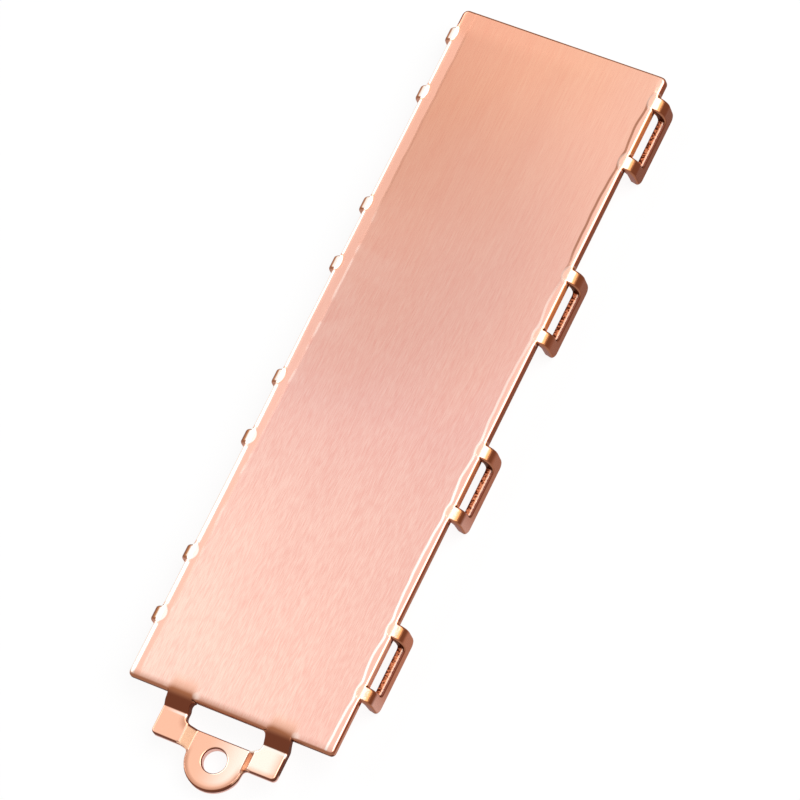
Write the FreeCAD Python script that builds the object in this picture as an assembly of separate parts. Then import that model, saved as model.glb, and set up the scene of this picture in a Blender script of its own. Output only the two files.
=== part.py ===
"""A clip-on heat spreader for a plug-in drive card, stamped and folded from one copper sheet.

A flat cover plate lies on the card. Four stirrup clips along each long edge fold down past the
card's sides, and a lowered tab at one end carries the ear and hole for the card's own screw.
Millimetres, +Z up. The origin is under the middle of the part, on the level of the surface that
the clips' lower edges stand on, and halfway between the two rows of clips. +X runs across the
plate and +Y along it, away from the tab.
"""
import FreeCAD, Part
import math
import os

V = FreeCAD.Vector
UP = V(0, 0, 1)
ACROSS = V(1, 0, 0)
TO_TAB = V(0, -1, 0)
NEAR = 1e-5

# The sheet, and the rounding that the punch leaves along the edges of its upper face
sheet = 0.8
plate_edge_roll = 0.30
clip_edge_roll = 0.25
tab_edge_roll = 0.20

# The card between the clips, and the play on each side of it
card_width = 22.0
card_play = 0.02

# The cover plate, whose long edges end just inside the clips, and which lies a little off the
# card's middle line
edge_gap = 0.10
plate_length = 72.8
plate_shift = 0.08
far_corner_radius = 0.6
near_corner_radius = 0.45

# The clips along each long edge: a strip bent down, with a window pierced through it
clip_count = 4
clip_pitch = 19.0
first_clip = 9.8
clip_length = 8.1
clip_depth = 3.7
clip_corner_radius = 0.8
clip_bend_radius = 0.65
cut_slant = 0.18
bar_height = 1.35
window_length = 5.05
window_corner_radius = 0.35
dimple_radius = 0.9
dimple_reach = 0.15

# The lowered tab: two legs step down to a flange each, and the ear lies one step lower between them
tab_width = 13.15
slot_width = 7.95
slot_lip = 0.08
slot_end = 2.0
slot_corner_radius = 0.6
tab_bend_radius = 1.2
tab_bend_start = 0.5
tab_bend_angle = 45.0
tab_root_round = 0.45
flange_drop = 0.9
flange_reach = 4.08
flange_corner_radius = 0.45
flange_root_round = 0.12
flange_heel_round = 0.4
ear_drop = 1.95
ear_radius = 2.95
ear_reach = 4.15
ear_root_round = 0.35
ear_step_top = 3.6
ear_step_run = 0.85
ear_step_round = 0.25
screw_hole_diameter = 2.4

# Places that follow from the sizes
overall_length = plate_length + ear_reach + ear_radius
y_far = overall_length / 2
y_near = y_far - plate_length
y_flange = y_near - flange_reach
y_ear = y_near - ear_reach
y_tip = y_ear - ear_radius
z_top = clip_depth
z_under = z_top - sheet
x_bar = card_width / 2 + card_play
half_plate = x_bar - edge_gap
x_bend = x_bar - clip_bend_radius
clip_bend_outer = clip_bend_radius + sheet
z_bend = z_top - clip_bend_outer
leg_width = (clip_length - window_length) / 2
tab_bend_outer = tab_bend_radius + sheet
y_bend = y_near + tab_bend_start
z_flange = z_top - flange_drop
z_ear = z_top - ear_drop
half_tab = tab_width / 2
half_slot = slot_width / 2


def box(x0, x1, y0, y1, z0, z1):
    return Part.makeBox(x1 - x0, y1 - y0, z1 - z0, V(x0, y0, z0))


def outline(*runs):
    """A closed wire, whose runs are lines of two points or arcs of three."""
    curves = [Part.Arc(*run) if len(run) == 3 else Part.LineSegment(*run) for run in runs]
    return Part.Wire([curve.toShape() for curve in curves])


def polygon(points):
    return outline(*zip(points, points[1:] + points[:1]))


def prism(wire, along):
    return Part.Face(wire).extrude(along)


def arc(centre, sideways, radius, start, stop):
    """Three points of an arc, between angles in degrees that are turned from straight up."""
    angles = [math.radians(angle) for angle in (start, (start + stop) / 2, stop)]
    return [centre + sideways * (radius * math.sin(a)) + UP * (radius * math.cos(a)) for a in angles]


def rounded(solid, radius, choose):
    """The solid with its chosen edges rounded."""
    return solid.makeFillet(radius, [edge for edge in solid.Edges if choose(edge)])


def points_on(edge):
    first, last = edge.FirstParameter, edge.LastParameter
    return [edge.valueAt(first + (last - first) * share) for share in (0, 0.5, 1)]


def runs_along(edge, direction):
    ends = points_on(edge)
    return all((point - ends[0]).cross(direction).Length < NEAR for point in ends)


def upright(edge):
    return runs_along(edge, UP)


def passes_over(edge, corner):
    """Whether an edge runs across the part through this corner of a leg's section."""
    return all(abs(point.y - corner.y) + abs(point.z - corner.z) < NEAR for point in points_on(edge))


def cover_plate():
    """The flat plate, rolled all round its upper face."""
    plate = box(-half_plate, half_plate, y_near, y_far, z_under, z_top)
    middle = (y_near + y_far) / 2
    plate = rounded(plate, far_corner_radius, lambda e: upright(e) and e.CenterOfMass.y > middle)
    plate = rounded(plate, near_corner_radius, lambda e: upright(e) and e.CenterOfMass.y < middle)
    return rounded(plate, plate_edge_roll, lambda e: e.BoundBox.ZMin > z_top - NEAR)


def clip_strip(y_low, y_high):
    """The bent strip that a clip is cut from: over the plate's edge, round the bend and down."""
    centre = V(x_bend, y_low, z_bend)
    outer = arc(centre, ACROSS, clip_bend_outer, 0, 90)
    inner = arc(centre, ACROSS, clip_bend_radius, 90, 0)
    outer_foot = V(x_bar + sheet, y_low, 0)
    inner_foot = V(x_bar, y_low, 0)
    section = outline(outer, (outer[-1], outer_foot), (outer_foot, inner_foot),
                      (inner_foot, inner[0]), inner, (inner[-1], outer[0]))
    return prism(section, V(0, y_high - y_low, 0))


def clip_blank(y_middle):
    """The block that trims the strip's ends, whose cut faces slant in behind the outer skin."""
    root = clip_length / 2
    wires = []
    for x, slant in ((x_bar + sheet, 0), (x_bar - sheet, 2 * cut_slant)):
        tip = root - slant
        wires.append(polygon([V(x, y_middle - root, z_top), V(x, y_middle - tip, 0),
                              V(x, y_middle + tip, 0), V(x, y_middle + root, z_top)]))
    block = Part.makeLoft(wires, True, True)
    return rounded(block, clip_corner_radius,
                   lambda e: e.BoundBox.ZMax < NEAR and e.BoundBox.XLength > sheet)


def on_outer_skin(point):
    """Whether a point lies on the face of a clip that was the sheet's upper face."""
    if point.z < z_bend:
        return abs(point.x - x_bar - sheet) < NEAR
    return abs(math.hypot(point.x - x_bend, point.z - z_bend) - clip_bend_outer) < NEAR


def is_cut_edge(edge):
    """Whether the punch cut this edge of a clip's outer skin, as it did not cut the bend's own lines."""
    bend_line = runs_along(edge, TO_TAB) and edge.BoundBox.ZMin > bar_height + NEAR
    return all(on_outer_skin(point) for point in points_on(edge)) and not bend_line


def clip(y_middle):
    """One stirrup on the +X edge, and the lip of the plate that ends inside its window."""
    half_clip = clip_length / 2
    half_window = window_length / 2
    y_low, y_high = y_middle - half_window, y_middle + half_window
    window = box(0, x_bar + 2 * sheet, y_low, y_high, bar_height, z_top + sheet)
    window = rounded(window, window_corner_radius,
                     lambda e: runs_along(e, ACROSS) and e.BoundBox.ZMax < z_top)
    strip = clip_strip(y_middle - half_clip, y_middle + half_clip)
    stirrup = strip.common(clip_blank(y_middle)).cut(window)
    stirrup = rounded(stirrup, clip_edge_roll, is_cut_edge)
    lip = box(x_bend, half_plate, y_low, y_high, z_under, z_top)
    lip = rounded(lip, plate_edge_roll,
                  lambda e: e.BoundBox.ZMin > z_top - NEAR and e.BoundBox.XMin > x_bend + NEAR)
    return [stirrup, lip]


def clip_dimples(y_middle):
    """What is sunk from the plate round the root of each leg, where the bend pulled it down."""
    x_out = x_bar + sheet
    above = box(x_bend, x_out, y_middle - clip_length, y_middle + clip_length, z_under, z_top + sheet)
    bend_core = Part.makeCylinder(clip_bend_outer, 2 * clip_length,
                                  V(x_bend, y_middle + clip_length, z_bend), TO_TAB)
    above = above.cut(bend_core)
    dimples = []
    for side in (-1, 1):
        y_leg = y_middle + side * (window_length + leg_width) / 2
        centre = V(x_bend - dimple_reach + dimple_radius, y_leg, z_under)
        dimples.append(above.common(Part.makeCylinder(dimple_radius, 2 * sheet, centre)))
    return dimples


def tab_leg(x_low, x_high):
    """A leg's strip: off the plate, round a shallow bend and down a straight slope to its flange."""
    angle = math.radians(tab_bend_angle)
    centre = V(x_low, y_bend, z_top - tab_bend_outer)
    top = arc(centre, TO_TAB, tab_bend_outer, 0, tab_bend_angle)
    under = arc(centre, TO_TAB, tab_bend_radius, tab_bend_angle, 0)
    foot = V(x_low, top[-1].y - (top[-1].z - z_flange) / math.tan(angle), z_flange)
    toe = foot + TO_TAB * flange_root_round
    heel = V(x_low, under[0].y - (under[0].z - z_flange + sheet) / math.tan(angle), z_flange - sheet)
    toe_under = toe - UP * sheet
    section = outline(top, (top[-1], foot), (foot, toe), (toe, toe_under), (toe_under, heel),
                      (heel, under[0]), under, (under[-1], top[0]))
    leg = prism(section, V(x_high - x_low, 0, 0))
    leg = rounded(leg, flange_root_round, lambda e: passes_over(e, foot))
    leg = rounded(leg, flange_heel_round, lambda e: passes_over(e, heel))
    return leg, toe.y


def tab_saddle(y_start):
    """The sheet beyond the legs, level at the flanges and stepped down to the ear between them."""
    low = ear_step_top - ear_step_run
    upper = [V(-half_tab, y_start, z_flange), V(-ear_step_top, y_start, z_flange),
             V(-low, y_start, z_ear), V(low, y_start, z_ear),
             V(ear_step_top, y_start, z_flange), V(half_tab, y_start, z_flange)]
    lower = [point - UP * sheet for point in reversed(upper)]
    saddle = prism(polygon(upper + lower), V(0, y_tip - sheet - y_start, 0))
    return rounded(saddle, ear_step_round,
                   lambda e: runs_along(e, TO_TAB) and abs(e.CenterOfMass.x) < half_tab - NEAR)


def tab_blank():
    """The tab as seen from above, with its slot and screw hole, as tall as the part."""
    band = box(-half_tab, half_tab, y_flange, y_bend, 0, z_top)
    band = rounded(band, flange_corner_radius,
                   lambda e: upright(e) and e.CenterOfMass.y < y_flange + NEAR)
    left, right = V(-ear_radius, y_ear, 0), V(ear_radius, y_ear, 0)
    inner_left, inner_right = V(-ear_radius, y_near - slot_end, 0), V(ear_radius, y_near - slot_end, 0)
    ear = outline((left, V(0, y_tip, 0), right), (right, inner_right), (inner_right, inner_left),
                  (inner_left, left))
    hole = Part.makeCylinder(screw_hole_diameter / 2, z_top, V(0, y_ear, 0))
    slot = box(-half_slot, half_slot, y_near - slot_end, y_near - slot_lip, 0, z_top)
    slot = rounded(slot, slot_corner_radius, upright)
    inside = box(-half_slot, half_slot, y_near - slot_lip, y_bend, 0, z_top)
    body = band.fuse(prism(ear, UP * z_top)).removeSplitter()
    body = rounded(body, ear_root_round,
                   lambda e: upright(e) and abs(abs(e.CenterOfMass.x) - ear_radius) < NEAR)
    return body.cut([slot, hole, inside])


def is_ear_rim(edge):
    """Whether an edge is where the ear's level face meets its end, its screw hole or the slot."""
    level = all(abs(point.z - z_ear) < NEAR for point in points_on(edge))
    return level and not runs_along(edge, TO_TAB)


def tab():
    """The whole tab, with the lip of plate that ends at its slot."""
    left, y_toe = tab_leg(-half_tab, -ear_step_top)
    right, y_toe = tab_leg(ear_step_top, half_tab)
    body = left.fuse([right, tab_saddle(y_toe)]).removeSplitter().common(tab_blank())
    # Each rim's roll runs on along every edge that follows on smoothly, up the ramps and legs
    body = rounded(body, tab_edge_roll, is_ear_rim)
    lip = box(-half_slot, half_slot, y_near - slot_lip, y_bend, z_under, z_top)
    lip = rounded(lip, plate_edge_roll,
                  lambda e: e.BoundBox.ZMin > z_top - NEAR and e.BoundBox.YMax < y_near)
    return [body, lip]


def tab_dimples():
    """What is sunk from the plate's end over the two legs' bends."""
    core = Part.makeCylinder(tab_bend_outer, tab_width,
                             V(-half_tab, y_bend, z_top - tab_bend_outer), ACROSS)
    sunk = []
    for x_low in (-half_tab, half_slot):
        x_high = x_low + half_tab - half_slot
        above = box(x_low, x_high, y_near - sheet, y_bend, z_under, z_top + sheet)
        above = rounded(above, tab_root_round, lambda e: upright(e) and e.CenterOfMass.y > y_near)
        sunk.append(above.cut(core))
    return sunk


def mirrored(solids):
    return [solid.mirror(V(0, 0, 0), ACROSS) for solid in solids]


def main():
    clips = []
    dimples = []
    for number in range(clip_count):
        y_middle = y_near + first_clip + number * clip_pitch
        clips += clip(y_middle)
        dimples += clip_dimples(y_middle)
    shifted = Part.makeCompound([cover_plate().cut(tab_dimples())] + tab())
    shifted.translate(ACROSS * -plate_shift)
    plate, *tab_parts = shifted.Solids
    plate = plate.cut(dimples + mirrored(dimples))
    cover = plate.fuse(clips + mirrored(clips) + tab_parts).removeSplitter()
    os.makedirs("parts", exist_ok=True)
    cover.exportStep("parts/cover_sheet.step")
    print(len(cover.Solids), "solid, valid", cover.isValid(), "volume", round(cover.Volume, 1))


main()
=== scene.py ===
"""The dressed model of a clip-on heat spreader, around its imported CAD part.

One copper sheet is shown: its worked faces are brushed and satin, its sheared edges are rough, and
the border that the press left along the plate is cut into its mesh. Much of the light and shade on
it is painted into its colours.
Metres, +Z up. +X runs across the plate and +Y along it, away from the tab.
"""

import math

import bmesh
import bpy
from mathutils import Matrix, Vector


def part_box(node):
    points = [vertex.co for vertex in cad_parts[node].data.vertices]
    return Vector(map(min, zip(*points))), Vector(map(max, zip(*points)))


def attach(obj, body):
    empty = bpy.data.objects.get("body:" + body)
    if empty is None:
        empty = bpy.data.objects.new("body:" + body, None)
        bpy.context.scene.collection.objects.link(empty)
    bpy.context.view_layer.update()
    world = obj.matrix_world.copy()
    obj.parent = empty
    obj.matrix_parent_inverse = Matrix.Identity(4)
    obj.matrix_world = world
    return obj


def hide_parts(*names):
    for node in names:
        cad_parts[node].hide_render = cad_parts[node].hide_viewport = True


bl_info = {
    "name": "Clip-on heat spreader",
    "version": (1, 0, 0),
    "blender": (4, 5, 0),
    "location": "3D View > Sidebar > Heat spreader",
    "description": "Builds a stamped copper heat spreader with four clips along each edge",
    "category": "Object",
}

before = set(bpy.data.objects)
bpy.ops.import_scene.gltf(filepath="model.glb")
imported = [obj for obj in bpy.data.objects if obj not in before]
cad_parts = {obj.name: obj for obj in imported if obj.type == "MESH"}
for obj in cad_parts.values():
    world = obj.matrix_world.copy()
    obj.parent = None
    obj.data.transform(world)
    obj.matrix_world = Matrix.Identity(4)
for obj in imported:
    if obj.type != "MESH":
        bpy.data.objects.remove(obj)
NODE = "cover_sheet"
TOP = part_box(NODE)[1].z
MM = 0.001

# Where the sheet's edges and folds lie, as in the CAD part, in millimetres
PLATE_LEFT, PLATE_RIGHT = -11.0, 10.84
PLATE_NEAR, PLATE_FAR = -32.85, 39.95
CLIP_MIDDLES = (-23.05, -4.05, 14.95, 33.95)
CLIP_PITCH = 19.0
CLIP_OUTER = 11.82
CLIP_REACH = 4.3
LEG_OFFSET = 3.2875
LEG_SPAN = (2.3, 4.25)
BEND_AXIS, BEND_HEIGHT, BEND_OUTER = 10.37, 2.25, 1.45
TAB_BEND_START, TAB_BEND_HEIGHT, TAB_BEND_OUTER = -32.35, 1.7, 2.0
TAB_LEG_INNER, TAB_LEG_OUTER = 3.975, 6.575
TAB_FOLD = -34.25
EAR_Y, EAR_RADIUS, EAR_TOP = -37.0, 2.95, 1.75
FLANGE_RISE, FLANGE_START, FLANGE_SLOPE = 1.05, 2.75, 0.85
SLOT_CORNER = 3.375
SLOT_NEAR, SLOT_FAR = -34.25, -33.53

# Up to this far from its axis a vertex belongs to an arc that is cut finer
BEND_LIMIT = BEND_OUTER + 0.01
EAR_LIMIT, HOLE_LIMIT, SLOT_LIMIT = 2.96, 1.6, 0.85
LARGE_ARC_STEPS, SMALL_ARC_STEPS = 20, 10

# Vertices this close are merged, edges this short dropped, faces this flat joined, and edges
# this sharp kept sharp
MERGE_WITHIN = 0.002
DROP_WITHIN = 0.0005
FLAT_WITHIN = math.radians(0.3)
SHARP_FROM = math.radians(35)

# What the press shaped: the plate's rim, its borders and the end beside the tab
RIM_DEPTH = 0.82
BORDER_INNER = 9.4
NEAR_END = PLATE_NEAR + 1.7

# The finer cuts there: first place, spacing and number
NEAR_END_ROWS = (PLATE_NEAR + 0.1, 0.12, 14)
FAR_END_ROWS = (PLATE_FAR - 1.4, -0.12, 4)
BORDER_COLUMNS = (BORDER_INNER + 0.05, 0.075, 16)
NEAR_END_COLUMNS = (-9.25, 0.25, 74)
BORDER_ROWS = (PLATE_NEAR + 0.2, 0.2, 363)

# The press's marks, in millimetres
PAD_CENTRE, PAD_RADIUS = 11.12, 0.9
PAD_SINK, BOWL_SINK, FAR_BAND_SINK = 0.008, 0.08, 0.004
LEFT_INSET, LEFT_FAR_INSET = 0.38, 0.25
ROOT_BULGE, ROOT_BULGE_WIDTH = 0.28, 2.2
PAD_MARGIN, PAD_BLEND = 0.2, 0.5
BORDER_DEPTH = 0.3
END_ROLL, END_ROLL_LENGTH = 0.16, 0.9

# Where the near half passes into the far half, a window starts and the plate ends
HALFWAY = (-14.0, 8.0)
WINDOW_SIDE = (2.75, 2.6)
PLATE_SIDE = (10.95, 11.05)

# How the plate's painted light runs: its length, x times y in a corner, and a patch of painted
# shade and its share
TONE_LENGTH, TONE_CORNER = 75.0, 400.0
SHADE_PATCH_PLACE, SHADE_PATCH_SHARE = (-8.0, 17.0, 23.0), 0.16

# Tints beside the colours of the group
EDGE_TINT = (0.85, 0.68, 0.62, 1.0)
STREAK_DARK, STREAK_LIGHT = (0.96, 0.88, 0.88), (1.03, 1.12, 1.13)
# Painted shade in a patch on the plate's left
SHADE_PATCH_COPPER = (0.10, 0.03, 0.015)
# Painted shade on faces turned to the far end
END_SHADE_COPPER = (0.24, 0.085, 0.03)
SPECKLE_COPPER = (0.68, 0.42, 0.33)
PAD_COPPER = (1.0, 0.62, 0.47)
# Painted shade round the ovals on the far left legs' tops
OUTLINE_SHADE_COPPER = (0.85, 0.42, 0.28)
# Painted shade on the plate's turned end beside the tab
TURNED_SHADE_COPPER = (0.34, 0.13, 0.07)
# Painted light on the tab's left step
LIT_STEP_COPPER = (0.85, 0.50, 0.32)
# Painted light on the left clips' cut ends
LIT_LEFT_WALL_COPPER = (0.55, 0.28, 0.20)
BRUSHED_ROUGHNESS, SHEARED_ROUGHNESS = 0.24, 0.42
TEAR_DEPTH = 0.04 * MM

# The studio, in metres
FLOOR_HALF = 1.5
LAMP_DISTANCE = 0.7
LEFT_LAMP, LEFT_LAMP_SIZE = (-0.741, 0.233, 0.629), (0.7, 0.25)
RIGHT_LAMP, RIGHT_LAMP_SIZE = (0.57, 0.27, 0.80), (0.8, 0.7)
PAPER_GLOW, PAPER_SHARE = 1.06, 0.85

# The photograph's camera, in pixels, millimetres and directions
PICTURE = 800
FOCAL_LENGTH = 5858.5
SENSOR = 36
CAMERA_PLACE = (197.181, -144.640, 492.027)
CAMERA_RIGHT = (0.87421, 0.43182, -0.22200)
CAMERA_UP = (-0.32702, 0.86161, 0.38819)
CAMERA_BACK = (0.35890, -0.26676, 0.89444)


def mm(value):
    return value * MM


class PressSizes(bpy.types.PropertyGroup):
    """What the press left along the plate's borders."""
    crease_inset: bpy.props.FloatProperty(
        name="Crease inset", description="From the plate's long edge in to the border crease",
        default=1.0 * MM, unit="LENGTH")
    crease_width: bpy.props.FloatProperty(
        name="Crease width", description="Width of the slope from the plate down to its border",
        default=0.38 * MM, unit="LENGTH")
    border_sink: bpy.props.FloatProperty(
        name="Border sink", description="How far the pressed border lies below the plate",
        default=0.045 * MM, unit="LENGTH")
    crown_width: bpy.props.FloatProperty(
        name="Crown width", description="From the long edge in to where the plate starts to fall",
        default=0.7 * MM, unit="LENGTH")


class CopperColours(bpy.types.PropertyGroup):
    """The copper's tones, and the light and shade painted on it."""
    # Painted light: far, middle and near copper make the plate lighter towards the tab
    far_copper: bpy.props.FloatVectorProperty(
        name="Far copper", description="Worked face at the far end", size=3,
        subtype="COLOR", default=(0.88, 0.44, 0.297), min=0, max=1)
    middle_copper: bpy.props.FloatVectorProperty(
        name="Middle copper", description="Worked face half way along", size=3,
        subtype="COLOR", default=(0.84, 0.47, 0.405), min=0, max=1)
    near_copper: bpy.props.FloatVectorProperty(
        name="Near copper", description="Worked face towards the tab", size=3,
        subtype="COLOR", default=(1.0, 0.63, 0.52), min=0, max=1)
    tab_copper: bpy.props.FloatVectorProperty(
        name="Tab copper", description="Worked face on the tab's left half", size=3,
        subtype="COLOR", default=(0.96, 0.52, 0.36), min=0, max=1)
    # Painted highlight on the tab's right half
    tab_highlight_copper: bpy.props.FloatVectorProperty(
        name="Light tab copper", description="Worked face on the tab's right half", size=3,
        subtype="COLOR", default=(1.0, 0.91, 0.79), min=0, max=1)
    # Painted shade on the pressed border's strip and round the near left legs' ovals
    border_shade_copper: bpy.props.FloatVectorProperty(
        name="Border copper", description="Pressed border of the plate", size=3,
        subtype="COLOR", default=(0.96, 0.54, 0.42), min=0, max=1)
    # Painted shade in the border crease of the far half
    crease_shade_copper: bpy.props.FloatVectorProperty(
        name="Crease copper", description="Border crease of the far half", size=3,
        subtype="COLOR", default=(0.36, 0.15, 0.085), min=0, max=1)
    # Painted highlight on the creases, the far pads' rings, the left edge, the left legs' tops and
    # the glints
    highlight_copper: bpy.props.FloatVectorProperty(
        name="Pale copper", description="Highlighted creases, pads and left edge", size=3,
        subtype="COLOR", default=(1.0, 0.90, 0.82), min=0, max=1)
    shade_copper: bpy.props.FloatVectorProperty(
        name="Shade copper", description="Turned sheet round the tab", size=3,
        subtype="COLOR", default=(0.38, 0.14, 0.065), min=0, max=1)
    # Painted shade that dims the near legs' highlight to gold, and the tab's steps
    gold_shade_copper: bpy.props.FloatVectorProperty(
        name="Gold copper", description="Tops of the near legs", size=3,
        subtype="COLOR", default=(0.40, 0.21, 0.155), min=0, max=1)
    # Painted shade where the legs start to bend
    roll_shade_copper: bpy.props.FloatVectorProperty(
        name="Roll copper", description="Start of the legs' bends", size=3,
        subtype="COLOR", default=(0.52, 0.21, 0.085), min=0, max=1)
    # Painted shade on the outside of the legs' bends and round the plate's far left corner
    bend_shade_copper: bpy.props.FloatVectorProperty(
        name="Bend copper", description="Outside of the legs' bends", size=3,
        subtype="COLOR", default=(0.18, 0.048, 0.020), min=0, max=1)
    # Painted shade on the clips' outer faces, darker at the far clips
    far_side_shade_copper: bpy.props.FloatVectorProperty(
        name="Side copper", description="Outer faces of the far clips", size=3,
        subtype="COLOR", default=(0.17, 0.041, 0.019), min=0, max=1)
    near_side_shade_copper: bpy.props.FloatVectorProperty(
        name="Near side copper", description="Outer faces of the near clips", size=3,
        subtype="COLOR", default=(0.42, 0.148, 0.085), min=0, max=1)
    # Painted shade on the tab's leg slopes and the ear's rim
    slope_shade_copper: bpy.props.FloatVectorProperty(
        name="Slope copper", description="Slopes of the tab's legs", size=3,
        subtype="COLOR", default=(0.155, 0.043, 0.021), min=0, max=1)
    # The cut edge's own darker copper with painted shade, lighter towards the tab
    near_edge_copper: bpy.props.FloatVectorProperty(
        name="Near edge copper", description="Cut edge of the plate in the near windows", size=3,
        subtype="COLOR", default=(0.50, 0.215, 0.14), min=0, max=1)
    far_edge_copper: bpy.props.FloatVectorProperty(
        name="Far edge copper", description="Cut edge of the plate between the clips", size=3,
        subtype="COLOR", default=(0.22, 0.062, 0.032), min=0, max=1)
    # Painted shade in dark lines along the cut and rolled edges
    edge_shade_copper: bpy.props.FloatVectorProperty(
        name="Edge copper", description="Dark lines of the cut edges", size=3,
        subtype="COLOR", default=(0.10, 0.028, 0.018), min=0, max=1)
    window_copper: bpy.props.FloatVectorProperty(
        name="Window copper", description="Cut edge of the plate in the far windows", size=3,
        subtype="COLOR", default=(0.48, 0.15, 0.05), min=0, max=1)
    clip_end_copper: bpy.props.FloatVectorProperty(
        name="Clip end copper", description="Cut ends of the clips", size=3,
        subtype="COLOR", default=(0.30, 0.14, 0.12), min=0, max=1)
    # Painted shade on the legs' walls in a clip's window
    leg_wall_shade_copper: bpy.props.FloatVectorProperty(
        name="Leg wall copper", description="Walls of the legs in a clip's window", size=3,
        subtype="COLOR", default=(0.06, 0.012, 0.003), min=0, max=1)
    lip_copper: bpy.props.FloatVectorProperty(
        name="Lip copper", description="Lower part of the tab's cut edge, and its hole", size=3,
        subtype="COLOR", default=(0.80, 0.50, 0.44), min=0, max=1)
    pit_copper: bpy.props.FloatVectorProperty(
        name="Pit copper", description="Pits in the torn top of a clip's bar", size=3,
        subtype="COLOR", default=(0.10, 0.022, 0.008), min=0, max=1)
    sheared_copper: bpy.props.FloatVectorProperty(
        name="Sheared copper", description="Torn top of a clip's bar", size=3,
        subtype="COLOR", default=(0.60, 0.22, 0.105), min=0, max=1)
    torn_copper: bpy.props.FloatVectorProperty(
        name="Torn copper", description="Bright grain of the torn part", size=3,
        subtype="COLOR", default=(0.85, 0.42, 0.23), min=0, max=1)
    burnish_copper: bpy.props.FloatVectorProperty(
        name="Burnished copper", description="Bright band of a bar's top", size=3,
        subtype="COLOR", default=(0.98, 0.75, 0.60), min=0, max=1)


class StudioLook(bpy.types.PropertyGroup):
    """The floor and the lamps."""
    fill_level: bpy.props.FloatProperty(
        name="Fill level", description="Strength of the room's even light", default=0.15, min=0)
    left_level: bpy.props.FloatProperty(
        name="Left softbox", description="Brightness of the left softbox", default=2.0, min=0)
    right_level: bpy.props.FloatProperty(
        name="Right softbox", description="Brightness of the right softbox", default=2.6, min=0)
    floor_colour: bpy.props.FloatVectorProperty(
        name="Floor", description="Colour of the floor", size=3, subtype="COLOR",
        default=(0.9, 0.9, 0.9), min=0, max=1)


class Field:
    """One socket's value over a surface. Arithmetic on it adds Math nodes."""

    def __init__(self, nodes, socket):
        self.nodes = nodes
        self.socket = socket

    def output(self, name):
        """Another output of the same node."""
        return Field(self.nodes, self.socket.node.outputs[name])

    def math(self, operation, *values, clamp=False):
        settings = {"operation": operation, "use_clamp": clamp}
        return self.nodes.node("ShaderNodeMath", settings, dict(enumerate(values)))

    def __add__(self, other):
        return self.math("ADD", self, other)

    __radd__ = __add__

    def __mul__(self, other):
        return self.math("MULTIPLY", self, other)

    __rmul__ = __mul__

    def __sub__(self, other):
        return self.math("SUBTRACT", self, other)

    def __rsub__(self, other):
        return self.math("SUBTRACT", other, self)

    def __neg__(self):
        return self.math("MULTIPLY", self, -1.0)

    def __abs__(self):
        return self.math("ABSOLUTE", self)

    def clamped(self):
        return self.math("ADD", self, 0.0, clamp=True)

    def least(self, other):
        return self.math("MINIMUM", self, other)

    def most(self, other):
        return self.math("MAXIMUM", self, other)

    def wrapped(self, low, high):
        return self.math("WRAP", self, high, low)

    def ramp(self, start, stop, low=0.0, high=1.0):
        """Low before start and high after stop, with a smooth step between."""
        if start > stop:
            start, stop, low, high = stop, start, high, low
        return self.nodes.node(
            "ShaderNodeMapRange", {"interpolation_type": "SMOOTHSTEP"},
            {"Value": self, "From Min": start, "From Max": stop, "To Min": low, "To Max": high})


class Nodes:
    """The nodes of a material or a world."""

    def __init__(self, block):
        block.use_nodes = True
        self.block = block
        self.tree = block.node_tree
        self.tree.nodes.clear()

    def node(self, kind, settings, values):
        """Adds a node, sets it up, and gives back its first output."""
        node = self.tree.nodes.new(kind)
        for name, value in settings.items():
            if name == "stops":
                for place, colour in value[1:-1]:
                    node.color_ramp.elements.new(place)
                for element, (place, colour) in zip(node.color_ramp.elements, value):
                    element.position = place
                    element.color = (*colour, 1.0)
            else:
                setattr(node, name, value)
        for name, value in values.items():
            if isinstance(value, Field):
                self.tree.links.new(value.socket, node.inputs[name])
            else:
                node.inputs[name].default_value = value
        return Field(self, node.outputs[0]) if node.outputs else None

    def seen(self):
        """1 to the camera, in reflections and through glass, and 0 to all other light."""
        path = self.node("ShaderNodeLightPath", {}, {})
        camera, glossy, through = (path.output(f"Is {kind} Ray")
                                   for kind in ("Camera", "Glossy", "Transmission"))
        return (camera + glossy + through).clamped()


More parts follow.
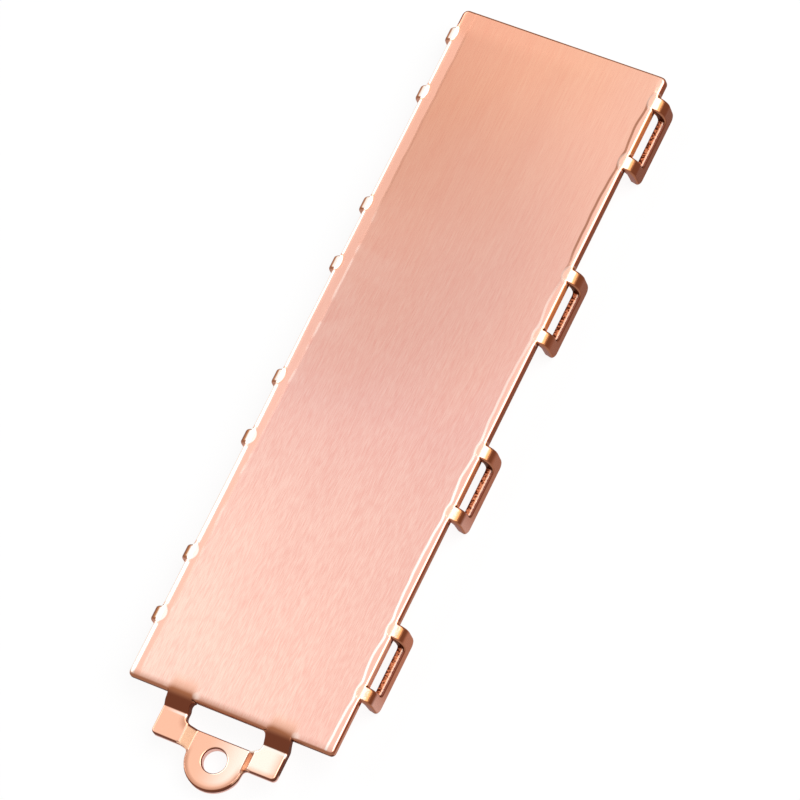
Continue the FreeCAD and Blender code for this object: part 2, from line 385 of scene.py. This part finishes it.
class Finish(Nodes):
    """A finish of the copper, with what its patterns follow, in millimetres."""

    def __init__(self, name):
        super().__init__(bpy.data.materials.new(name))
        coordinates = self.node("ShaderNodeTexCoord", {}, {})
        self.place = self.node("ShaderNodeVectorMath", {"operation": "SCALE"},
                               {0: coordinates.output("Object"), "Scale": 1 / MM})
        self.x, self.y, self.z = self.parts(self.place)
        self.nx, self.ny, self.nz = self.parts(coordinates.output("Normal"))
        self.right = self.x.ramp(-1.0, 1.0)
        self.out = abs(self.x)
        self.along = (self.y - CLIP_MIDDLES[0]).wrapped(-CLIP_PITCH / 2, CLIP_PITCH / 2)
        self.in_window = abs(self.along).ramp(*WINDOW_SIDE)
        self.past_plate = self.out.ramp(*PLATE_SIDE)

    def parts(self, vector):
        split = self.node("ShaderNodeSeparateXYZ", {}, {0: vector})
        return split, split.output(1), split.output(2)

    def attribute(self, name):
        return self.node("ShaderNodeAttribute", {"attribute_name": name}, {}).output("Fac")

    def noise(self, across, along, detail=2.0, roughness=0.5, shift=(0, 0, 0)):
        """Noise from about 0 to 1, with this many waves a millimetre across and along."""
        where = self.node("ShaderNodeVectorMath", {"operation": "MULTIPLY_ADD"},
                          {0: self.place, 1: (across, along, across), 2: shift})
        return self.node("ShaderNodeTexNoise", {}, {"Vector": where, "Scale": 1.0,
                                                    "Detail": detail, "Roughness": roughness})

    def near(self, x, y, radius):
        """1 at this place of the plan, falling to 0 at this radius."""
        across, along = self.x - x, self.y - y
        return (across * across + along * along).ramp(radius ** 2, 0.0)

    def mix(self, factor, below, above, blend="MIX"):
        """Two colours mixed, each a field or plain values."""
        first, second = (c if isinstance(c, Field) else (*c, 1.0) for c in (below, above))
        return self.node("ShaderNodeMix", {"data_type": "RGBA", "blend_type": blend},
                         {0: factor, 6: first, 7: second}).output(2)

    def metal(self, colour, roughness, **more):
        """Ends the finish as bare metal, and gives back its material."""
        shader = self.node("ShaderNodeBsdfPrincipled", {}, {
            "Base Color": colour, "Roughness": roughness, "Metallic": 1.0,
            "Specular Tint": EDGE_TINT, **more})
        self.node("ShaderNodeOutputMaterial", {}, {"Surface": shader})
        return self.block


def plate_tone(finish, colours):
    """The plate's satin copper, with fine streaks along it, painted lighter towards the tab and
    darker at the far left and near right, with a patch of painted shade on the left.
    """
    x, y = finish.x, finish.y
    bands = finish.noise(0.9, 0.04, shift=(5, 2, 8))
    long = finish.noise(9.5, 0.25, detail=1.0)
    short = finish.noise(11.0, 1.0, detail=1.0, shift=(3, 7, 1))
    cloud = finish.noise(0.10, 0.05)
    # Painted light and shade: lighter towards the tab, darker at the far left and near right
    crossed = x * y * (1 / TONE_CORNER)
    along = 0.5 - y * (1 / TONE_LENGTH) + crossed * 0.15 + (cloud - 0.5) * 0.2
    colour = finish.node("ShaderNodeValToRGB", {"stops": [
        (0.0, colours.far_copper), (0.5, colours.middle_copper), (0.9, colours.near_copper),
        (1.0, colours.near_copper)]}, {"Fac": along.clamped()})
    streak = (bands - 0.5) * 0.35 + (long - 0.5) * 0.9
    streak = streak + (short - 0.5) * y.ramp(30.0, -14.0, 0.6, 2.2)
    lightness = (streak + crossed * 0.3 + 0.5).clamped()
    tint = finish.mix(lightness, STREAK_DARK, STREAK_LIGHT)
    colour = finish.mix(1.0, colour, tint, "MULTIPLY")
    # A patch of painted shade on the left of the far half
    return finish.mix(finish.near(*SHADE_PATCH_PLACE) * SHADE_PATCH_SHARE, colour, SHADE_PATCH_COPPER)


def plate_edge(finish, colours, near):
    """The plate's cut edge, darker copper with painted shade on it: lighter where near is 1, and
    more orange in the far windows.
    """
    edge = finish.mix(near, colours.far_edge_copper, colours.near_edge_copper)
    far_window = finish.in_window * finish.y.ramp(-20.0, 15.0)
    return finish.mix(far_window, edge, colours.window_copper)


def paint_border(finish, colours, colour):
    """The pressed border, with painted shade and highlights on its crease, the strip outside it
    and the rolled edge.
    """
    x, y, right = finish.x, finish.y, finish.right
    left = 1.0 - right
    far = y.ramp(*HALFWAY)
    from_end = PLATE_FAR - y
    border = finish.attribute("border")
    crease = (border * (1.0 - border) * 4.0).ramp(0.0, 0.8)
    # Painted shade on the strip outside the crease, less on the left's far half
    strip = right * 0.6 + left * (0.9 - far * 0.4) * from_end.ramp(1.75, 3.95)
    colour = finish.mix(border * strip, colour, colours.border_shade_copper)
    # Painted shade in the crease of the far half, full on the right and half on the left
    far_crease_shade = y.ramp(14.0, 22.0) * from_end.ramp(1.35, 3.15) * (right * 0.5 + 0.5)
    colour = finish.mix(crease * far_crease_shade * 0.9, colour, colours.crease_shade_copper)
    # Painted highlight along the crease short of the far end: on the right, stronger towards the
    # tab, and in faint patches on the left
    patchy = finish.noise(0.2, 0.5, detail=1.0, shift=(2, 2, 2)).ramp(0.45, 0.62)
    pale = right * y.ramp(10.0, -8.0, 0.4, 1.0) + left * patchy * 0.3
    colour = finish.mix(crease * y.ramp(20.0, 14.0) * pale, colour, colours.highlight_copper)
    # Painted highlight in a pale band along the left edge, narrower towards the far end and
    # stopping short of it
    edge = (PLATE_RIGHT - x).least(x - PLATE_LEFT)
    white = (edge + far * 0.24).ramp(0.66, 0.54) * left * from_end.ramp(1.55, 2.15)
    colour = finish.mix(white, colour, colours.highlight_copper)
    # Painted shade where the sheet turns down round the far left corner
    corner = left * from_end.ramp(2.05, 1.55) * finish.nz.ramp(0.99, 0.90)
    colour = finish.mix(corner, colour, colours.bend_shade_copper)
    # Painted shade on the right's rolled edge, in the cut edge's colours
    rolled = plate_edge(finish, colours, finish.in_window * y.ramp(5.0, -20.0))
    colour = finish.mix(finish.nz.ramp(0.90, 0.76) * right, colour, rolled)
    # Painted shade on faces turned to the far end
    return finish.mix(finish.ny.ramp(0.2, 0.5), colour, END_SHADE_COPPER)


def paint_clips(finish, colours, colour):
    """The clips' painted light and shade: pale and gold leg tops, darker bends and outer faces."""
    y, nz, out, right = finish.y, finish.nz, finish.out, finish.right
    left = 1.0 - right
    near = 1.0 - y.ramp(*HALFWAY)
    beside = abs(finish.along)
    leg = beside.ramp(2.35, 2.5) * beside.ramp(4.25, 4.1) * out.ramp(10.2, 10.35)
    clip = leg.most(finish.past_plate)

    # The round pads at the roots of the right legs, a ring of painted highlight round the far
    # ones, and the near legs' tops in painted shade, so that their highlight shows gold
    across, off = out - PAD_CENTRE, beside - LEG_OFFSET
    from_pad = across * across + off * off
    on_plate = out.ramp(11.0, 10.6) * right
    ring = from_pad.ramp(1.35, 1.15) * from_pad.ramp(0.75, 0.95) * on_plate * (1.0 - near)
    colour = finish.mix(ring * 0.22, colour, colours.highlight_copper)
    pad = from_pad.ramp(1.05, 0.85) * on_plate
    colour = finish.mix(pad * near.ramp(0.0, 1.0, 0.5, 0.9), colour, PAD_COPPER)
    speckle = finish.noise(5.0, 5.0, roughness=0.6, shift=(1, 4, 9)).ramp(0.4, 0.6)
    gold = finish.mix(speckle * 0.5, colours.gold_shade_copper, SPECKLE_COPPER)
    colour = finish.mix(leg * right * near * out.ramp(10.65, 11.05), colour, gold)

    # Painted highlights: the pale ovals of the left legs' tops, ringed by painted shade
    across = (out - 10.92) * near.ramp(0.0, 1.0, 1 / 0.52, 1 / 0.85)
    off = off * near.ramp(0.0, 1.0, 1 / 0.75, 1 / 0.93)
    oval = across * across + off * off
    oval_shade = finish.mix(near, OUTLINE_SHADE_COPPER, colours.border_shade_copper)
    colour = finish.mix(oval.ramp(1.9, 1.4) * left * 0.8, colour, oval_shade)
    colour = finish.mix(oval.ramp(1.1, 0.9) * left, colour, colours.highlight_copper)

    # Painted shade on the bends, down the outer faces and in the dark line under a window, darkest
    # at the far clips, with painted light at the near end of each near clip
    lit = nz + left * near.ramp(0.0, 1.0, 0.03, -0.05)
    colour = finish.mix(clip * lit.ramp(0.86, 0.77), colour, colours.roll_shade_copper)
    side = finish.mix(y.ramp(-25.0, 32.0), colours.near_side_shade_copper, colours.far_side_shade_copper)
    side = finish.mix(finish.along.ramp(-1.0, -4.2) * near * 0.5, side, colours.lip_copper)
    side = finish.mix(nz.ramp(0.15, 0.50), side, colours.bend_shade_copper)
    colour = finish.mix(clip * lit.ramp(0.75, 0.62), colour, side)
    # Painted shade in the dark line on the bars' rolled tops
    bar = finish.z.ramp(1.8, 1.5) * nz.ramp(0.45, 0.75)
    return finish.mix(clip * bar, colour, colours.edge_shade_copper)


def paint_tab(finish, colours, colour):
    """The tab and the plate's end beside it, in painted light and shade: lighter towards the
    right, and darker wherever the sheet turns down.
    """
    x, y, nz, out = finish.x, finish.y, finish.nz, finish.out
    to_end = y - PLATE_NEAR
    to_fold = y - TAB_FOLD
    on_tab = to_end.ramp(-0.3, -0.6)
    on_plate = 1.0 - on_tab
    # Painted highlight: the tab lightens towards its right
    lighter = finish.mix(x.ramp(-1.5, 3.0), colours.tab_copper, colours.tab_highlight_copper)
    colour = finish.mix(on_tab, colour, lighter)

    # Painted shade towards the turned sheet: first the tab's own copper, then darker
    over_leg = out.ramp(3.6, 4.4) * out.ramp(7.0, 6.2) * on_plate
    ear = finish.near(0.0, EAR_Y, EAR_RADIUS)
    on_rim = ear.ramp(0.0, 0.01) * (y - EAR_Y).ramp(0.8, -0.8) * on_tab
    side = x.ramp(5.2, 6.8) * on_tab
    base = y.ramp(-36.2, -36.95) * out.ramp(3.0, 3.6) * on_tab
    corner = finish.near(-3.6, -34.75, 1.25)
    half_shade = over_leg * to_end.ramp(2.2, 0.8) * 0.7 + ear.ramp(0.55, 0.1) * on_rim
    half_shade = half_shade + side + base + corner
    colour = finish.mix(half_shade.clamped() * 0.9, colour, colours.tab_copper)
    shade = to_end.ramp(0.9, 0.0) * x.ramp(7.5, 4.5, 0.35, 0.75) * on_plate
    shade = shade + over_leg * to_end.ramp(1.5, 0.2) * 0.5 + corner * corner * 0.5
    shade = shade + ear.ramp(0.26, 0.0) * on_rim * 0.6 + x.ramp(6.1, 6.7) * on_tab * 0.5
    colour = finish.mix(shade.clamped(), colour, colours.shade_copper)

    # Glints at the roots of the legs and along the fold
    glint = finish.near(-3.75, -32.45, 0.5).most(finish.near(6.80, -32.45, 0.5))
    fold = to_fold.ramp(0.12, 0.0) * to_fold.ramp(-0.25, -0.1)
    glint = glint * 0.35 + fold * x.ramp(-6.5, -4.5) * 0.8
    colour = finish.mix(glint.clamped(), colour, colours.highlight_copper)

    # Painted shade on the legs' slopes and the plate's turned end
    slope = out.ramp(3.7, 3.95) * out.ramp(6.8, 6.6)
    slope = slope * (y - TAB_BEND_START).ramp(0.1, -0.8) * to_fold.ramp(0.05, 0.17)
    turned = finish.mix(slope.most(on_tab), TURNED_SHADE_COPPER, colours.slope_shade_copper)
    colour = finish.mix(slope.most((-finish.ny).ramp(0.15, 0.7)), colour, turned)

    # Painted shade on the ear's rim; the step up from it to each flange painted light on the left
    # and in painted shade on the right
    step = out.ramp(2.4, 2.55) * out.ramp(3.95, 3.8) * to_fold.ramp(-0.75, -0.95)
    on_ear = to_fold.ramp(-0.25, -0.45)
    rim = on_ear * nz.ramp(0.97, 0.72) * finish.nx.ramp(-0.3, 0.0).most(y.ramp(-36.9, -37.1))
    colour = finish.mix(rim * (1.0 - step), colour, colours.slope_shade_copper)
    darker = finish.right * y.ramp(-36.8, -35.4, 0.5, 1.0)
    stepped = finish.mix(darker, LIT_STEP_COPPER, colours.shade_copper)
    stepped = finish.mix(nz.ramp(0.72, 0.82), stepped, colours.gold_shade_copper)
    return finish.mix(step * nz.ramp(0.998, 0.96), colour, stepped)


def brushed_copper(colours):
    """The worked faces of the sheet: satin, with the grain along the plate, and painted light and
    shade.
    """
    finish = Finish("brushed_copper")
    plain = plate_tone(finish, colours)
    colour = paint_border(finish, colours, plain)
    colour = paint_clips(finish, colours, colour)
    colour = paint_tab(finish, colours, colour)
    colour = finish.mix(finish.nz.ramp(-0.2, -0.7), colour, plain)
    return finish.metal(colour, BRUSHED_ROUGHNESS)


def sheared_copper(colours):
    """The cut faces of the sheet, where the punch tore it, with painted shade."""
    finish = Finish("sheared_copper")
    y = finish.y
    torn = finish.noise(3.5, 5.5, roughness=0.6)
    line = finish.attribute("depth") + (torn - 0.5) * 0.08

    # The upright cuts, from the plate out to the clips and then round the tab, in painted shade:
    # near black in the clips' windows, dark at the plate's near end and atop the rim, lighter on
    # the left clips
    clip_wall = finish.mix(finish.in_window, colours.clip_end_copper, colours.leg_wall_shade_copper)
    clip_wall = finish.mix(1.0 - finish.right, clip_wall, LIT_LEFT_WALL_COPPER)
    plate_wall = plate_edge(finish, colours, y.ramp(5.0, -30.0))
    wall = finish.mix(finish.past_plate, plate_wall, clip_wall)
    wall = finish.mix((y - PLATE_NEAR).ramp(0.3, 0.1), wall, colours.edge_shade_copper)
    rim_wall = finish.mix(line.ramp(0.45, 0.60), colours.edge_shade_copper, colours.lip_copper)
    wall = finish.mix(y.ramp(-36.0, -36.4), wall, rim_wall)
    hole = finish.near(0.0, EAR_Y, 1.35).ramp(0.0, 0.02)
    wall = finish.mix(hole, wall, colours.lip_copper)

    # The torn top of a clip's bar, with its burnished band between dark lines of painted shade
    pitted = torn - (line - 0.4) * 0.35
    top = finish.mix(pitted.ramp(0.40, 0.47), colours.pit_copper, colours.sheared_copper)
    top = finish.mix(pitted.ramp(0.50, 0.62) * 0.7, top, colours.torn_copper)
    top = finish.mix(line.ramp(0.74, 0.80), top, colours.edge_shade_copper)
    top = finish.mix(line.ramp(0.37, 0.33), top, colours.burnish_copper)
    top = finish.mix(line.ramp(0.24, 0.20), top, colours.edge_shade_copper)
    colour = finish.mix(finish.nz.ramp(0.4, 0.8), wall, top)
    normal = finish.node("ShaderNodeBump", {}, {"Height": torn * line.ramp(0.34, 0.38),
                                                "Distance": TEAR_DEPTH, "Strength": 0.6})
    return finish.metal(colour, SHEARED_ROUGHNESS, Normal=normal)


def depth_in_sheet(point):
    """How far a point lies below the sheet's outer face, in millimetres."""
    x, y, z = abs(point.x) / MM, point.y / MM, point.z / MM
    if y < TAB_BEND_START and not (x < TAB_LEG_INNER - 0.05 and y > PLATE_NEAR - 0.3):
        return tab_height(x, y) - z
    if x < BEND_AXIS:
        return TOP / MM - z
    if z > BEND_HEIGHT:
        return BEND_OUTER - math.hypot(x - BEND_AXIS, z - BEND_HEIGHT)
    return CLIP_OUTER - x


def tab_height(x, y):
    """The height of the tab's upper face, in millimetres."""
    below = TAB_BEND_START - y
    bend_end = TAB_BEND_OUTER * math.sqrt(0.5)
    if x > TAB_LEG_INNER - 0.05 and below < bend_end + 0.3:
        if x > TAB_LEG_OUTER + 0.05:
            return TOP / MM
        if below < bend_end:
            return TAB_BEND_HEIGHT + math.sqrt(TAB_BEND_OUTER ** 2 - below ** 2)
        return TAB_BEND_HEIGHT + 2 * bend_end - below
    return EAR_TOP + FLANGE_RISE * min(1.0, max(0.0, (x - FLANGE_START) / FLANGE_SLOPE))


def from_clip(y):
    """How far this place along the plate is from the middle of the nearest clip."""
    return min(abs(y - middle) for middle in CLIP_MIDDLES)


def is_cut(face):
    """Whether a face is where the sheet was cut, and not one of its two skins."""
    middle = face.calc_center_median() / MM
    normal = face.normal
    across = abs(middle.x)
    beside = from_clip(middle.y)
    if beside < CLIP_REACH and across > BEND_AXIS:
        if middle.z < BEND_HEIGHT:
            return abs(normal.x) < 0.5
        if beside > 2.2 and across > 10.6:
            return abs(normal.y) > 0.9
    return abs(normal.z) < 0.15


def smooth_step(start, stop, value):
    """0 at start and 1 at stop, with a smooth step between."""
    share = min(1.0, max(0.0, (value - start) / (stop - start)))
    return share * share * (3 - 2 * share)


def skin_mesh():
    """A copy of the CAD sheet's own mesh, merged."""
    skin = bmesh.new()
    skin.from_mesh(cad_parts[NODE].data)
    bmesh.ops.remove_doubles(skin, verts=skin.verts, dist=mm(MERGE_WITHIN))
    bmesh.ops.dissolve_limit(skin, angle_limit=FLAT_WITHIN, verts=skin.verts,
                             edges=skin.edges, delimit=set())
    return skin


def cut_plane(skin, faces, place, normal):
    """Cuts these faces by a plane, and gives back the faces with the new ones."""
    around = {v for f in faces for v in f.verts}
    edges = {e for f in faces for e in f.edges}
    made = bmesh.ops.bisect_plane(skin, geom=[*around, *edges, *faces], dist=1e-8,
                                  plane_co=place, plane_no=normal)
    return [f for f in made["geom"] if isinstance(f, bmesh.types.BMFace)]


def cut_across(skin, faces, axis, place):
    """Cuts these faces square to an axis at this place along it, in millimetres."""
    point = Vector((0, 0, 0))
    point[axis] = mm(place)
    normal = Vector((0, 0, 0))
    normal[axis] = 1
    return cut_plane(skin, faces, point, normal)


def round_arc(skin, centre, across, up, limit, steps, where):
    """Cuts one quarter round an axis finer, and sets the new vertices on their true arcs.

    The axis runs through the centre, square to both directions, which bound the quarter.
    """
    reach = skin.verts.layers.float.get("reach") or skin.verts.layers.float.new("reach")
    centre = Vector(centre) * MM
    across, up = Vector(across), Vector(up)

    def away(vert):
        return (vert.co - centre).dot(across), (vert.co - centre).dot(up)

    for vert in skin.verts:
        sideways, upward = away(vert)
        vert[reach] = 0.0
        if min(sideways, upward) > -mm(0.001) and where(vert.co / MM):
            vert[reach] = math.hypot(sideways, upward)
    arc = [f for f in skin.faces if all(0 < v[reach] < mm(limit) for v in f.verts)]
    for step in range(1, steps):
        angle = math.pi / 2 * step / steps
        arc = cut_plane(skin, arc, centre, up * math.cos(angle) - across * math.sin(angle))
    worked = {v for f in arc for v in f.verts}
    for vert in worked:
        sideways, upward = away(vert)
        if sideways > 0 and upward > 0:
            grown = vert[reach] / math.hypot(sideways, upward) - 1
            vert.co += (across * sideways + up * upward) * grown


def round_arcs(skin):
    """Rounds the clips' bends, the tab's ear, its screw hole and the slot's corners."""
    def on_leg(place):
        return LEG_SPAN[0] < from_clip(place.y) < LEG_SPAN[1]

    def on_tab(place):
        return place.y < PLATE_NEAR

    def anywhere(place):
        return True

    towards_tab, towards_plate = (0, -1, 0), (0, 1, 0)
    for side in (-1, 1):
        across = (side, 0, 0)
        bend = (side * BEND_AXIS, 0, BEND_HEIGHT)
        round_arc(skin, bend, across, (0, 0, 1), BEND_LIMIT, LARGE_ARC_STEPS, on_leg)
        ear = (0, EAR_Y, 0)
        round_arc(skin, ear, across, towards_tab, EAR_LIMIT, LARGE_ARC_STEPS, anywhere)
        round_arc(skin, ear, across, towards_plate, HOLE_LIMIT, SMALL_ARC_STEPS, anywhere)
        for y, towards in ((SLOT_NEAR, towards_tab), (SLOT_FAR, towards_plate)):
            corner = (side * SLOT_CORNER, y, 0)
            round_arc(skin, corner, across, towards, SLOT_LIMIT, SMALL_ARC_STEPS, on_tab)
    skin.verts.layers.float.remove(skin.verts.layers.float["reach"])


def top_faces(skin, inner=0.0):
    """The faces of the plate's top and its rolled edges, from this far out to both sides."""
    chosen = []
    for face in skin.faces:
        middle = face.calc_center_median()
        if (face.normal.z > -0.1 and middle.z > TOP - mm(RIM_DEPTH)
                and abs(middle.x) >= mm(inner)):
            chosen.append(face)
    return chosen


def spaced(start, spacing, number):
    """This number of places, evenly spaced from the start."""
    return [start + spacing * step for step in range(number)]


def cut_grid(skin):
    """Cuts the plate's top finer wherever the press shaped it."""
    upper = top_faces(skin)
    for place in spaced(*NEAR_END_ROWS) + spaced(*FAR_END_ROWS):
        upper = cut_across(skin, upper, 1, place)
    for side in (-1, 1):
        for place in spaced(*BORDER_COLUMNS):
            upper = cut_across(skin, upper, 0, side * place)
    end = [f for f in upper if f.calc_center_median().y < mm(NEAR_END)]
    for place in spaced(*NEAR_END_COLUMNS):
        end = cut_across(skin, end, 0, place)

    # The rows run up the border, and leave behind what lies below each
    strip = top_faces(skin, BORDER_INNER)
    for place in spaced(*BORDER_ROWS):
        strip = [f for f in cut_across(skin, strip, 1, place)
                 if f.calc_center_median().y > mm(place)]


def border_step(point, sizes):
    """0 on the plate and 1 on its pressed border, whose crease bulges round each leg's root."""
    x, y = point.x / MM, point.y / MM
    inset = sizes.crease_inset / MM
    wave = 0.02 * math.sin(y * 1.3) + 0.012 * math.sin(y * 3.1 + 1)
    if x < 0:
        inset += LEFT_INSET + LEFT_FAR_INSET * smooth_step(*HALFWAY, y)
        outside = inset + wave - (x - PLATE_LEFT)
    else:
        from_root = from_clip(y) - LEG_OFFSET
        inset -= ROOT_BULGE * math.exp(-(from_root / ROOT_BULGE_WIDTH) ** 2)
        from_crease = inset + wave - (PLATE_RIGHT - x)
        from_pad = PAD_RADIUS + PAD_MARGIN - math.hypot(x - PAD_CENTRE, from_root)
        blend = max(0.0, PAD_BLEND - abs(from_crease - from_pad))
        outside = max(from_crease, from_pad) + blend * blend / 2
    return smooth_step(0, sizes.crease_width / MM, outside)


def press_sink(point, sizes):
    """How far the press sank the sheet's top here, in metres."""
    x, y = point.x / MM, point.y / MM
    near = 1 - smooth_step(*HALFWAY, y)
    from_root = from_clip(y) - LEG_OFFSET
    if x > 0:
        edge = PLATE_RIGHT - x
        border_share = 0.6 + 0.4 * near
        crown = 0.08 + (0.05 if from_root < 0 else 0.16) * (1 - near)
    else:
        edge = x - PLATE_LEFT
        border_share = 0.3
        crown = 0.12 + 0.18 * near
    down = sizes.border_sink / MM * border_step(point, sizes) * border_share
    from_pad = math.hypot(abs(x) - PAD_CENTRE, from_root)
    down += PAD_SINK * smooth_step(0.98, 0.82, from_pad)

    # The crowned long edges, except at the legs
    width = sizes.crown_width / MM
    fall = min(width, max(0.0, width - edge)) ** 2
    down += crown * fall * smooth_step(0.72, 0.95, abs(from_root))

    # The rolled end beside the tab's legs, and the bowls over them
    to_end = y - PLATE_NEAR
    from_leg = max(TAB_LEG_INNER - abs(x), abs(x) - TAB_LEG_OUTER)
    roll = min(END_ROLL_LENGTH + 0.2, max(0.0, END_ROLL_LENGTH - to_end)) ** 2
    down += END_ROLL * roll * smooth_step(-0.1, 0.3, from_leg)
    bowl = smooth_step(0.9, -0.2, from_leg) * smooth_step(1.6, 0.2, to_end)
    down += BOWL_SINK * bowl * smooth_step(-1.4, -0.2, to_end)

    down += FAR_BAND_SINK * smooth_step(1.75, 1.45, PLATE_FAR - y)
    return down * MM


def mark_sheet(skin, sizes):
    """Keeps each vertex's depth in the sheet and share of the border, and tells the cut faces."""
    depth = skin.verts.layers.float.new("depth")
    border = skin.verts.layers.float.new("border")
    for vert in skin.verts:
        vert[depth] = depth_in_sheet(vert.co)
        if vert.co.z > TOP - mm(BORDER_DEPTH) and vert.co.y > mm(PLATE_NEAR):
            vert[border] = border_step(vert.co, sizes)
    for face in skin.faces:
        face.smooth = True
        face.material_index = int(is_cut(face))


def press_sheet(skin, sizes):
    """Sinks the sheet's top as the press did, and less and less of it down through the sheet."""
    depth = skin.verts.layers.float["depth"]
    for vert in skin.verts:
        share = smooth_step(0.75, 0.3, vert[depth])
        share *= smooth_step(1.4, 0.3, (TOP - vert.co.z) / MM)
        vert.co.z -= press_sink(vert.co, sizes) * share
    skin.normal_update()
    for edge in skin.edges:
        edge.smooth = not edge.is_manifold or edge.calc_face_angle(0) < SHARP_FROM


class BuildSheet(bpy.types.Operator):
    """Builds the copper sheet with its pressed border"""
    bl_idname = "spreader.sheet"
    bl_label = "Copper sheet"

    def execute(self, context):
        sizes = context.scene.spreader_press
        colours = context.scene.spreader_copper
        skin = skin_mesh()
        round_arcs(skin)
        cut_grid(skin)
        bmesh.ops.dissolve_degenerate(skin, dist=mm(DROP_WITHIN), edges=skin.edges)
        mark_sheet(skin, sizes)
        press_sheet(skin, sizes)
        mesh = bpy.data.meshes.new("copper_sheet")
        skin.to_mesh(mesh)
        skin.free()
        mesh.materials.append(brushed_copper(colours))
        mesh.materials.append(sheared_copper(colours))
        sheet = bpy.data.objects.new("copper_sheet", mesh)
        context.scene.collection.objects.link(sheet)
        weigh = sheet.modifiers.new("weigh", "WEIGHTED_NORMAL")
        weigh.keep_sharp = True
        weigh.weight = 90
        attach(sheet, "root")
        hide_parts(NODE)
        return {"FINISHED"}


def softbox(context, name, direction, size, level):
    """An oblong lamp of this brightness that faces the part, unseen by the camera."""
    lamp = bpy.data.lights.new(name, "AREA")
    lamp.shape = "RECTANGLE"
    lamp.size, lamp.size_y = size
    lamp.energy = level * math.pi * size[0] * size[1]
    holder = bpy.data.objects.new(name, lamp)
    holder.location = Vector(direction).normalized() * LAMP_DISTANCE
    holder.rotation_mode = "QUATERNION"
    holder.rotation_quaternion = holder.location.to_track_quat("Z", "Y")
    holder.visible_camera = False
    context.scene.collection.objects.link(holder)


def floor_paper(colour):
    """White paper whose shadows are soft to the camera and in reflections, clear from below."""
    nodes = Nodes(bpy.data.materials.new("floor_paper"))
    paper = nodes.node("ShaderNodeBsdfDiffuse", {}, {"Color": (*colour, 1.0)})
    glow = nodes.node("ShaderNodeEmission", {}, {"Color": (1, 1, 1, 1), "Strength": PAPER_GLOW})
    shown = nodes.node("ShaderNodeMixShader", {},
                       {0: nodes.seen() * PAPER_SHARE, 1: paper, 2: glow})
    under = nodes.node("ShaderNodeNewGeometry", {}, {}).output("Backfacing")
    clear = nodes.node("ShaderNodeBsdfTransparent", {}, {})
    both = nodes.node("ShaderNodeMixShader", {}, {0: under, 1: shown, 2: clear})
    nodes.node("ShaderNodeOutputMaterial", {}, {"Surface": both})
    return nodes.block


def room_light(level):
    """A white room to the camera and in reflections, and an even light of this level otherwise."""
    nodes = Nodes(bpy.data.worlds.new("room"))
    strength = nodes.seen() * (1.0 - level) + level
    glow = nodes.node("ShaderNodeBackground", {}, {"Color": (1, 1, 1, 1), "Strength": strength})
    nodes.node("ShaderNodeOutputWorld", {}, {"Surface": glow})
    return nodes.block


def photo_camera():
    """The photograph's camera, worked out from the part's own right angles."""
    camera = bpy.data.cameras.new("camera")
    camera.sensor_width = SENSOR
    camera.lens = FOCAL_LENGTH / PICTURE * SENSOR
    camera.shift_x = -0.5 / PICTURE
    camera.shift_y = 0.5 / PICTURE
    holder = bpy.data.objects.new("camera", camera)
    turn = Matrix((CAMERA_RIGHT, CAMERA_UP, CAMERA_BACK)).transposed().to_4x4()
    turn.translation = Vector(CAMERA_PLACE) * MM
    holder.matrix_world = turn
    return holder


class BuildStudio(bpy.types.Operator):
    """Sets the floor, the soft lamps, the room and the camera"""
    bl_idname = "spreader.studio"
    bl_label = "Studio"

    def execute(self, context):
        scene = context.scene
        look = scene.spreader_studio
        ground = bmesh.new()
        bmesh.ops.create_grid(ground, x_segments=1, y_segments=1, size=FLOOR_HALF)
        mesh = bpy.data.meshes.new("floor")
        ground.to_mesh(mesh)
        ground.free()
        mesh.materials.append(floor_paper(look.floor_colour))
        floor = bpy.data.objects.new("floor", mesh)
        scene.collection.objects.link(floor)
        scene.world = room_light(look.fill_level)
        softbox(context, "left_softbox", LEFT_LAMP, LEFT_LAMP_SIZE, look.left_level)
        softbox(context, "right_softbox", RIGHT_LAMP, RIGHT_LAMP_SIZE, look.right_level)
        camera = photo_camera()
        scene.collection.objects.link(camera)
        scene.camera = camera
        scene.view_settings.view_transform = "Standard"
        return {"FINISHED"}


class SpreaderPanel(bpy.types.Panel):
    """Lists what the add-on builds"""
    bl_idname = "VIEW3D_PT_spreader"
    bl_label = "Heat spreader"
    bl_space_type = "VIEW_3D"
    bl_region_type = "UI"
    bl_category = "Heat spreader"

    def draw(self, context):
        scene = context.scene
        for group in (scene.spreader_press, scene.spreader_copper, scene.spreader_studio):
            for name in group.__annotations__:
                self.layout.prop(group, name)
        for operator in (BuildSheet, BuildStudio):
            self.layout.operator(operator.bl_idname)


CLASSES = (PressSizes, CopperColours, StudioLook, BuildSheet, BuildStudio, SpreaderPanel)


def register():
    for kind in CLASSES:
        bpy.utils.register_class(kind)
    bpy.types.Scene.spreader_press = bpy.props.PointerProperty(type=PressSizes)
    bpy.types.Scene.spreader_copper = bpy.props.PointerProperty(type=CopperColours)
    bpy.types.Scene.spreader_studio = bpy.props.PointerProperty(type=StudioLook)


def unregister():
    del bpy.types.Scene.spreader_press
    del bpy.types.Scene.spreader_copper
    del bpy.types.Scene.spreader_studio
    for kind in reversed(CLASSES):
        bpy.utils.unregister_class(kind)


def main():
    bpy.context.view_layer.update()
    register()
    bpy.ops.spreader.sheet()
    bpy.ops.spreader.studio()


if __name__ == "__main__":
    main()
